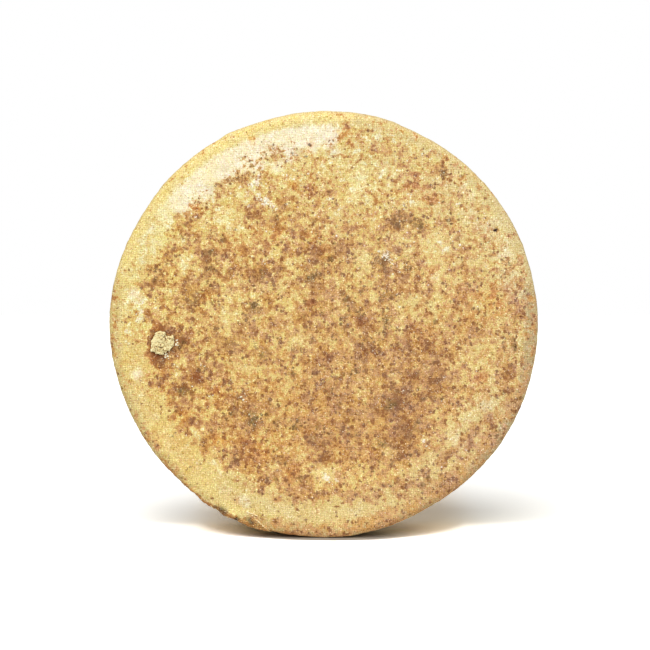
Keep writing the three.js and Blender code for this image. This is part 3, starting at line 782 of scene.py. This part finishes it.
def join_crumbs(name, crumbs):
    """Makes one piece of the crumbs, with its place in its mesh."""
    bpy.ops.object.select_all(action="DESELECT")
    for made in crumbs:
        made.select_set(True)
    bpy.context.view_layer.objects.active = crumbs[0]
    bpy.ops.object.join()
    joined = bpy.context.object
    joined.name = name
    bpy.ops.object.transform_apply(location=True, rotation=True, scale=True)
    return joined


def lip_crumb(degrees, radius, size, stretch, lift):
    """A crumb of the lip, its long side along the rim."""
    seat_place = on_rind(on_front(degrees, radius), lift)
    tilt, swing, roll = drawn(((-TILT, TILT),) * 3)
    return crumb(size, stretch, seat_place, (tilt, math.radians(-degrees - 90) + swing, roll))


lip_crumbs = []
while len(lip_crumbs) < LIP_CRUMBS:
    degrees = rng.uniform(LIP_START, LIP_END)
    radius = rng.uniform(lip_edge(degrees) + 0.5 * MM, LIP_OUTER_RADIUS)
    size = rng.uniform(*LIP_CRUMB_SIZES) * MM
    stretch = drawn(LIP_CRUMB_STRETCHES)
    place = (on_front(degrees, radius) - WHEEL_CENTRE) / MM
    if all(math.hypot(place.x - right, place.z - raised) > reach
           for right, raised, reach, _ in TORN_HOLLOWS):
        lip_crumbs.append(lip_crumb(degrees, radius, size, stretch, -0.15 * size))
for number in range(RIDGE_CRUMBS):
    degrees = LIP_WIDENS + (LIP_END - LIP_WIDENS) * (number + 0.5) / RIDGE_CRUMBS
    size = rng.uniform(*RIDGE_CRUMB_SIZES) * MM
    lip_crumbs.append(lip_crumb(degrees, lip_edge(degrees), size, RIDGE_STRETCH, RIDGE_LIFT))
lip = join_crumbs("broken_rind_lip", lip_crumbs)
resurface(lip, LIP_VOXEL)
push_out(lip, "lip_grain", 0.9 * MM, 0.16 * MM)
rest_on_floor(lip)
bpy.ops.object.shade_smooth()
lip_points = points_of(lip)
# The lip is darkened in its hollows, as painted shade.
keep_marks(lip, "hollow_shade", mark_strength(lip_points, TORN_HOLLOWS))
keep_marks(lip, "crest", mark_strength(lip_points, LIP_CRESTS))
# Tones from the painted shade of the crevices, at 0, to the painted highlight of the crests, at 1.
BROKEN_TONES = (
    (0.00, (62, 42, 24)), (0.24, (140, 94, 46)), (0.42, (188, 132, 68)), (0.60, (214, 168, 98)),
    (0.80, (238, 212, 150)), (1.00, (252, 242, 204)),
)


def colour_steps(value, steps):
    """A colour ramp through the given tones."""
    made = next_node("ShaderNodeValToRGB", {"Fac": value})
    ramp = made.color_ramp
    while len(ramp.elements) < len(steps):
        ramp.elements.new(0.5)
    for element, (place, colour) in zip(ramp.elements, steps):
        element.position = place
        element.color = tone(colour)
    return made.outputs["Color"]


def crumbly_finish(name, tones, grain_size, lift, marks=()):
    """Dry, matt curd: painted shade in its crevices, painted highlight on its crests, and the piece's
    marks.
    """
    made, tree = new_material(name)
    at = add_node(tree, "ShaderNodeTexCoord").outputs["Object"]
    # Pointiness paints shade in the crevices and a highlight on the crests.
    crest = add_node(tree, "ShaderNodeNewGeometry").outputs["Pointiness"]
    value = sum_up("MULTIPLY_ADD", sum_up("SUBTRACT", crest, 0.5), 5.0, lift)
    for size in (grain_size * 4, grain_size):
        value = sum_up("ADD", value, rough_noise(at, size, 2.0, 0.7, 0.5, 0.2))
    for mark_name, weight in marks:
        value = sum_up("MULTIPLY_ADD", mark(tree, mark_name), weight, value)
    fine = rough_noise(at, grain_size * 0.4, 2.0, 0.6, 1.0)
    finish_surface(made, colour_steps(value, tones), 0.8, 0.25, fine, 0.2 * MM, 0.6)
    return made


lip.data.materials.append(crumbly_finish("broken_rind", BROKEN_TONES, 1.2 * MM, 0.46,
                                         (("hollow_shade", -0.5), ("crest", 0.45))))
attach(lip, "root")
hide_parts("cheese_wheel")

# The plug: the core that a cheese iron drew from the wheel, pressed back into its hole. It is
# bare curd, dried and cracked, with grains of curd crowded over its top. Each grain is given
# across and up from the plug's middle, wide, tall, in millimetres, and turned by degrees.
PLUG_GRAINS = (
    (-5.0, -0.2, 6.6, 12.6, 20), (-1.5, 6.6, 7.4, 3.6, -8), (0.6, 5.8, 2.8, 3.8, 0),
    (-1.5, 2.5, 6.6, 6.0, 15), (1.2, 2.0, 3.6, 4.4, 0), (-0.7, -1.7, 5.2, 4.4, 0),
    (4.7, 0.0, 7.2, 7.8, -10), (3.0, 3.3, 2.8, 2.4, 0), (5.2, 3.9, 3.0, 2.2, 20),
    (7.3, 3.6, 2.4, 3.6, 10), (4.3, -4.0, 4.6, 4.6, 30), (2.1, -5.2, 3.0, 5.0, 20),
    (-5.6, -4.7, 4.2, 5.0, 0), (-2.6, -4.5, 3.0, 3.4, 0), (-0.1, -5.3, 3.2, 3.8, 25),
    (-3.3, -7.0, 5.0, 2.8, 10), (-0.5, -7.8, 3.8, 2.4, -10), (-7.6, -5.6, 2.6, 3.0, 0),
    (-3.5, -2.3, 2.4, 2.4, 0),
)
# Painted shade in the cracks between them, listed like the marks, from the plug's middle.
PLUG_CRACK_SHADES = (
    (-3.5, 7.1, 0.7, 1.0), (-2.4, 7.0, 0.7, 1.0), (0.1, 6.7, 0.6, 0.8), (-2.2, 3.9, 0.7, 0.9),
    (-0.7, 3.0, 0.8, 1.0), (2.0, 3.8, 0.8, 1.0), (2.5, 2.4, 0.7, 0.9), (-1.3, -1.2, 0.6, 1.0),
    (-1.3, -2.2, 0.6, 1.0), (-5.6, -2.7, 0.8, 1.0), (-4.1, -2.7, 0.7, 0.9), (-5.4, -4.3, 0.7, 1.0),
    (-5.3, -5.4, 0.6, 0.8), (-2.7, -5.5, 0.8, 0.9), (-0.5, -3.9, 1.0, 0.8), (0.6, -4.9, 0.8, 0.8),
    (1.9, -5.6, 0.7, 0.9), (2.6, -2.4, 0.6, 0.9), (2.9, 0.4, 0.5, 0.8), (3.8, 1.5, 0.6, 0.8),
    (4.2, -4.4, 0.7, 0.8), (5.3, 3.1, 0.7, 0.9), (7.2, 1.9, 0.7, 0.8),
)
PLUG_CROWN = -39.3 * MM
PLUG_GRAIN_MIDDLE = -39.6 * MM
PLUG_GRAIN_DEPTHS = (2.3, 3.4)
PLUG_GRAIN_TILT = 0.12
PLUG_VOXEL = 0.22 * MM
plug = copy_of_solid("curd_plug_pressed_back", "curd_plug")
plug_points = points_of(plug)
plug_points[:, 1] = np.maximum(plug_points[:, 1], PLUG_CROWN)
move_points(plug, plug_points)
plug_parts = [plug]
for right, raised, wide, tall, lean_degrees in PLUG_GRAINS:
    place = Vector((WHEEL_CENTRE.x + PLUG_MIDDLE.x + right * MM, PLUG_GRAIN_MIDDLE,
                    WHEEL_CENTRE.z + PLUG_MIDDLE.z + raised * MM))
    deep = rng.uniform(*PLUG_GRAIN_DEPTHS)
    tilt, roll = drawn(((-PLUG_GRAIN_TILT, PLUG_GRAIN_TILT),) * 2)
    plug_parts.append(crumb(1.0 * MM, (wide, deep, tall), place,
                            (tilt, math.radians(lean_degrees), roll)))
plug = join_crumbs("curd_plug_pressed_back", plug_parts)
resurface(plug, PLUG_VOXEL)
push_out(plug, "plug_grain", 1.1 * MM, 0.26 * MM)
bpy.ops.object.shade_smooth()
# The cracks are darkened with painted shade.
crack_shades = [(right + PLUG_MIDDLE.x / MM, raised + PLUG_MIDDLE.z / MM, reach, strength)
          for right, raised, reach, strength in PLUG_CRACK_SHADES]
keep_marks(plug, "crack_shade", mark_strength(points_of(plug), crack_shades))
# Curd tones, from the painted shade of crevices and cracks, at 0, to the painted highlight of crests,
# at 1.
CURD_TONES = (
    (0.00, (104, 70, 46)), (0.22, (168, 130, 88)), (0.42, (222, 200, 140)), (0.62, (238, 223, 164)),
    (0.82, (245, 233, 182)), (1.00, (253, 246, 216)),
)
plug.data.materials.append(crumbly_finish("dried_curd", CURD_TONES, 1.0 * MM, 0.6, (("crack_shade", -0.45),)))
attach(plug, "root")
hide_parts("curd_plug")

# Loose crumbs and flakes: bits of curd and dried bloom that cling to the front face, many of
# them round the plug. Each is a millimetre or two; across, up and size are in millimetres.
FACE_CRUMBS = (
    (-117.2, -20.0, 2.0), (-116.0, -21.6, 1.8), (-117.6, -22.4, 1.4), (-115.2, -23.4, 1.2),
    (-109.6, -13.2, 2.0), (-108.4, -11.4, 1.7), (-107.9, -13.8, 1.1), (-109.2, -9.8, 1.2),
    (-111.2, -27.5, 1.4), (-108.2, -29.7, 1.2), (-91.4, -28.4, 1.2), (-88.6, -29.2, 1.0),
    (-61.4, -52.2, 1.7), (-59.6, -54.0, 1.5), (-57.8, -55.4, 1.1), (-97.6, -44.0, 1.2),
    (-85.2, -51.4, 1.3), (-82.4, -50.6, 1.0), (-46.1, 94.6, 2.0), (-43.6, 92.8, 2.2),
    (-41.2, 90.9, 1.8), (-39.4, 89.6, 1.5), (-100.5, 96.4, 1.8), (-98.1, 94.8, 1.3),
    (-102.4, 97.9, 1.2), (-51.4, 106.6, 1.4), (-48.0, 104.4, 1.1), (47.2, 52.2, 1.4), (49.0, 50.4, 1.2),
    (45.4, 49.6, 1.0), (76.4, -88.6, 1.2), (78.1, -90.4, 1.0), (4.2, -116.0, 1.4), (6.4, -117.6, 1.1),
    (-43.4, 46.8, 1.3), (-138.6, 9.4, 1.4), (-138.2, 14.2, 1.1), (-139.2, 4.4, 1.1),
)
FACE_CRUMB_STRETCHES = ((0.9, 1.5), (0.5, 0.8), (0.7, 1.0))
FACE_CRUMB_TURN = 0.8
face_crumbs = []
for right, raised, size in FACE_CRUMBS:
    above = WHEEL_CENTRE + Vector((right * MM, FACE_FRONT - 2 * MM, raised * MM))
    stretch = drawn(FACE_CRUMB_STRETCHES)
    facing = drawn(((-FACE_CRUMB_TURN, FACE_CRUMB_TURN),) * 3)
    face_crumbs.append(crumb(size * MM, stretch, on_rind(above, -0.1 * size * MM), facing))
crumbs = join_crumbs("loose_crumbs", face_crumbs)
bpy.ops.object.shade_smooth()
crumbs.data.materials.append(crumbly_finish("crumb_curd", CURD_TONES, 0.8 * MM, 0.72))
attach(crumbs, "root")
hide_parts("cheese_wheel")

# The floor: a plain pale table top that runs on behind the wheel. Its colour paints the shadow: a warm
# painted bounce, a painted contact shadow under the wheel, and painted light in front of a curved edge.
FLOOR_SIZE = 5.0
SHADED_TONE = (1.5, 1.5, 1.46, 1)
WARM_BOUNCE_TONE = (1.48, 1.34, 1.14, 1)
LIT_FLOOR_TONE = (2.6, 2.6, 2.6, 1)
REFLECTED_TONE = (0.66, 0.66, 0.66, 1)
SHADOW_MIDDLE = (6 * MM, 100 * MM)
SHADOW_SIDES = (125 * MM, 80 * MM)
SHADOW_ENDS = (200 * MM, 140 * MM)
CONTACT_SHADOW_SIDES = (90 * MM, 28 * MM)
CONTACT_SHADOW_FRONT = (24 * MM, -30 * MM)
CONTACT_SHADOW_DEPTH = 0.78
EDGE_CURVE, EDGE_FRONT, EDGE_BACK = 57.0, -46 * MM, 18 * MM
EDGE_SOFTNESS, EDGE_WIDENING = 1 * MM, 0.16
bpy.ops.object.select_all(action="DESELECT")
bpy.ops.mesh.primitive_plane_add(size=FLOOR_SIZE, location=(0, 0, 0))
floor = bpy.context.object
floor.name = "pale_floor"
floor_material, floor_tree = new_material("pale_table")
floor_seen = add_node(floor_tree, "ShaderNodeLightPath").outputs["Is Camera Ray"]
floor_place = add_node(floor_tree, "ShaderNodeTexCoord").outputs["Object"]
floor_across, floor_along, _ = next_node("ShaderNodeSeparateXYZ", {0: floor_place}).outputs


def apart(place, middle):
    """How far a place on the floor is from the middle, one way."""
    return sum_up("ABSOLUTE", sum_up("SUBTRACT", place, middle))


beside = apart(floor_across, SHADOW_MIDDLE[0])
# A warm tint near the wheel paints the bounce of its light into the shadow.
painted_warm_bounce = sum_up("MULTIPLY", share_of(beside, *SHADOW_SIDES),
                share_of(apart(floor_along, SHADOW_MIDDLE[1]), *SHADOW_ENDS))
# Painted contact shadow: the floor is darker under the wheel.
under = share_of(beside, *CONTACT_SHADOW_SIDES, 0.0, -CONTACT_SHADOW_DEPTH)
under = sum_up("MULTIPLY_ADD", under, share_of(floor_along, *CONTACT_SHADOW_FRONT), 1.0)
floor_tone = scaled(blend(painted_warm_bounce, SHADED_TONE, WARM_BOUNCE_TONE), under)
# In front of a curved edge the floor is painted far brighter, painted light that ends the shadow.
shade_edge = sum_up("MULTIPLY_ADD", sum_up("POWER", beside, 3.0), EDGE_CURVE, EDGE_FRONT)
shade_edge = sum_up("MINIMUM", shade_edge, EDGE_BACK)
past_edge = sum_up("DIVIDE", sum_up("SUBTRACT", floor_along, shade_edge),
                   sum_up("MULTIPLY_ADD", beside, EDGE_WIDENING, EDGE_SOFTNESS))
painted_lit_floor = share_of(past_edge, 1.0, -1.0)
floor_tone = blend(painted_lit_floor, floor_tone, LIT_FLOOR_TONE)
floor_tone = blend(floor_seen, REFLECTED_TONE, floor_tone)
floor_finish = floor_tree.nodes["Principled BSDF"]
floor_tree.links.new(floor_tone, floor_finish.inputs["Base Color"])
floor_finish.inputs["Roughness"].default_value = 0.9
floor.data.materials.append(floor_material)

# The light: a broad key light from the upper left in front, soft lights above, behind and at the
# right, and a pale room that is white where the camera sees it.
WORLD_LIGHT = 0.2
KEY_POWER = 2.8
KEY_BREADTH, KEY_ELEVATION, KEY_TURN = 62, 50, -12
# Name, compass direction, elevation, distance, size and power.
SOFT_LIGHTS = (
    ("top", -25, 62, 1.2, 0.5, 1.8), ("back", 170, 40, 2.6, 1.2, 4),
    ("right", 84, 12, 1.3, 0.8, 2.0),
)
bpy.context.scene.view_settings.view_transform = "Standard"
world = bpy.data.worlds.new("studio")
bpy.context.scene.world = world
world.use_nodes = True
world_tree = world.node_tree
sky = world_tree.nodes["Background"]
sky.inputs["Color"].default_value = (1, 1, 1, 1)
sky_seen = add_node(world_tree, "ShaderNodeLightPath").outputs["Is Camera Ray"]
sky_light = next_node("ShaderNodeMix", {0: sky_seen, 2: WORLD_LIGHT, 3: 1.0})
world_tree.links.new(sky_light.outputs[0], sky.inputs["Strength"])


def soft_light(name, direction, elevation, distance, size, power):
    """An area light that faces the wheel from a compass direction: 0 in front, 90 at the right."""
    turned = math.radians(direction)
    raised = math.radians(elevation)
    back = Vector((math.sin(turned) * math.cos(raised), -math.cos(turned) * math.cos(raised),
                   math.sin(raised)))
    lamp = bpy.data.lights.new(name, "AREA")
    lamp.shape = "DISK"
    lamp.size = size
    lamp.energy = power
    made = bpy.data.objects.new(name, lamp)
    bpy.context.scene.collection.objects.link(made)
    made.location = WHEEL_CENTRE + back * distance
    made.rotation_euler = (-back).to_track_quat("-Z", "Y").to_euler()


sun = bpy.data.lights.new("key", "SUN")
sun.energy = KEY_POWER
sun.angle = math.radians(KEY_BREADTH)
key = bpy.data.objects.new("key", sun)
bpy.context.scene.collection.objects.link(key)
key.rotation_euler = (math.radians(90 - KEY_ELEVATION), 0, math.radians(KEY_TURN))
for light_settings in SOFT_LIGHTS:
    soft_light(*light_settings)

# The camera: straight in front of the wheel and a little above its middle, with a long lens.
CAMERA_DISTANCE = 1.34
CAMERA_RAISE = math.radians(4)
CAMERA_LENS = 97.3
CAMERA_SHIFT = (0.0017, -0.0024)
lens = bpy.data.cameras.new("camera")
lens.sensor_width = 36
lens.lens = CAMERA_LENS
lens.shift_x, lens.shift_y = CAMERA_SHIFT
camera = bpy.data.objects.new("camera", lens)
bpy.context.scene.collection.objects.link(camera)
camera_back = Vector((0, -math.cos(CAMERA_RAISE), math.sin(CAMERA_RAISE)))
camera.location = WHEEL_CENTRE + camera_back * CAMERA_DISTANCE
camera.rotation_euler = (-camera_back).to_track_quat("-Z", "Y").to_euler()
bpy.context.scene.camera = camera
